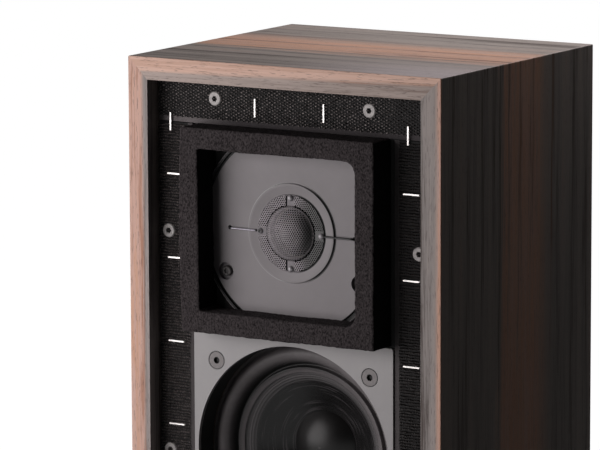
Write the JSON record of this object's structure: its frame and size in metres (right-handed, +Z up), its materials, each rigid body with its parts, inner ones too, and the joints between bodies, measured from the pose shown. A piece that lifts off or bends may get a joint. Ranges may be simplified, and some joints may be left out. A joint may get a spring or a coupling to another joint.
{
  "type": "bookshelf speaker",
  "caption": "Two-way bookshelf speaker with veneered cabinet, recessed baffle, felt-framed dome tweeter, cone woofer and rear binding posts.",
  "frame": {"origin": "middle of the base that the cabinet stands on", "axes": "+Z up, the front baffle faces -Y, +X to the right seen from the front"},
  "size_m": [0.19, 0.195, 0.305],
  "materials": {
    "veneer": "satin rosewood-brown veneer",
    "baffle_paint": "black painted plywood",
    "batten_wood": "planed beech",
    "seal_foam": "closed-cell foam strip",
    "hook_tape": "black woven hook tape",
    "staple_steel": "bright staple wire",
    "screw_steel": "zinc-plated",
    "bolt_steel": "dull zinc-plated",
    "felt": "thick charcoal wool felt",
    "grey_plate": "satin grey paint",
    "tweeter_grey": "satin grey anodised",
    "gasket": "fibre gasket",
    "cast_alloy": "painted die casting",
    "surround_rubber": "matt rubber",
    "cone_plastic": "doped black plastic cone",
    "cap_plastic": "satin black dome",
    "former_foil": "foil",
    "copper_wire": "enamelled copper",
    "spider_cloth": "resin-dipped cloth",
    "iron": "plated mild steel",
    "ferrite": "dark ferrite",
    "tag_board": "phenolic board and tags",
    "flex_lead": "braided tinsel",
    "guard_metal": "grey perforated sheet",
    "rivet_metal": "plain rivet heads",
    "lead_wire": "tinned wire",
    "dome_fabric": "coated dome",
    "circuit_board": "fibreglass board",
    "spacer_nylon": "nylon",
    "capacitor_film": "yellow film sleeve",
    "resistor_body": "cement",
    "damping_pad": "bitumen-loaded felt",
    "foam": "open-cell foam",
    "wire_sleeve": "insulated wire",
    "post_metal": "gilt brass",
    "collar_plastic": "black moulding",
    "cap_red": "red moulding",
    "cap_black": "black moulding"
  },
  "bodies": {
    "root": {"top_panel": "veneer", "base_panel": "veneer", "left_panel": "veneer", "right_panel": "veneer", "back_panel": "veneer", "front_battens": "batten_wood", "rear_battens": "batten_wood", "baffle_seal": "seal_foam", "front_baffle": "baffle_paint", "tape_top": "hook_tape", "tape_bottom": "hook_tape", "tape_left": "hook_tape", "tape_right": "hook_tape", "tape_staples": "staple_steel", "baffle_screws": "screw_steel", "tweeter_felt": "felt", "woofer_plate": "grey_plate", "woofer_bolts": "bolt_steel", "woofer_nuts": "screw_steel", "woofer_gasket": "gasket", "woofer_chassis": "cast_alloy", "woofer_surround": "surround_rubber", "woofer_spider": "spider_cloth", "woofer_pole_plate": "iron", "woofer_magnet": "ferrite", "woofer_pole": "iron", "woofer_tags": "tag_board", "woofer_leads": "flex_lead", "tweeter_plate": "tweeter_grey", "tweeter_guard": "guard_metal", "tweeter_rivets": "rivet_metal", "tweeter_leads": "lead_wire", "tweeter_screws": "bolt_steel", "tweeter_surround": "dome_fabric", "tweeter_pole_plate": "iron", "tweeter_magnet": "ferrite", "tweeter_pole": "iron", "crossover_board": "circuit_board", "crossover_spacers": "spacer_nylon", "crossover_screws": "screw_steel", "crossover_inductors": "copper_wire", "crossover_capacitors": "capacitor_film", "crossover_resistors": "resistor_body", "damping_pads": "damping_pad", "foam_lining": "foam", "internal_wires": "wire_sleeve", "terminal_posts": "post_metal", "terminal_collars": "collar_plastic", "terminal_nuts": "screw_steel", "terminal_tags": "post_metal"},
    "woofer_motion": {"woofer_cone": "cone_plastic", "woofer_dust_cap": "cap_plastic", "woofer_former": "former_foil", "woofer_coil": "copper_wire"},
    "tweeter_motion": {"tweeter_dome": "dome_fabric", "tweeter_coil": "copper_wire"},
    "positive_clamp": {"positive_washer": "post_metal"},
    "positive_knob": {"positive_cap": "cap_red"},
    "negative_clamp": {"negative_washer": "post_metal"},
    "negative_knob": {"negative_cap": "cap_black"}
  },
  "joints": [
    {"name": "woofer_travel", "type": "slide", "parent": "root", "child": "woofer_motion", "axis": [0, -1, 0], "range_m": [-0.004, 0.004], "stiffness_N_per_m": 560, "deforming": ["woofer_surround", "woofer_spider", "woofer_leads"]},
    {"name": "tweeter_travel", "type": "slide", "parent": "root", "child": "tweeter_motion", "axis": [0, -1, 0], "range_m": [-0.0003, 0.0003], "stiffness_N_per_m": 2000, "deforming": ["tweeter_surround"]},
    {"name": "positive_clamp_travel", "type": "slide", "parent": "root", "child": "positive_clamp", "axis": [0, 1, 0], "range_m": [0, 0.004]},
    {"name": "positive_knob_turn", "type": "hinge", "parent": "positive_clamp", "child": "positive_knob", "pos_m": [0.0095, 0.0975, 0.062], "axis": [0, 1, 0], "range_deg": [0, 1440]},
    {"name": "negative_clamp_travel", "type": "slide", "parent": "root", "child": "negative_clamp", "axis": [0, 1, 0], "range_m": [0, 0.004]},
    {"name": "negative_knob_turn", "type": "hinge", "parent": "negative_clamp", "child": "negative_knob", "pos_m": [-0.0095, 0.0975, 0.062], "axis": [0, 1, 0], "range_deg": [0, 1440]}
  ],
  "couplings": [
    {"joint": "positive_knob_turn", "follows": "positive_clamp_travel", "rad_per_m": 6283},
    {"joint": "negative_knob_turn", "follows": "negative_clamp_travel", "rad_per_m": 6283}
  ]
}
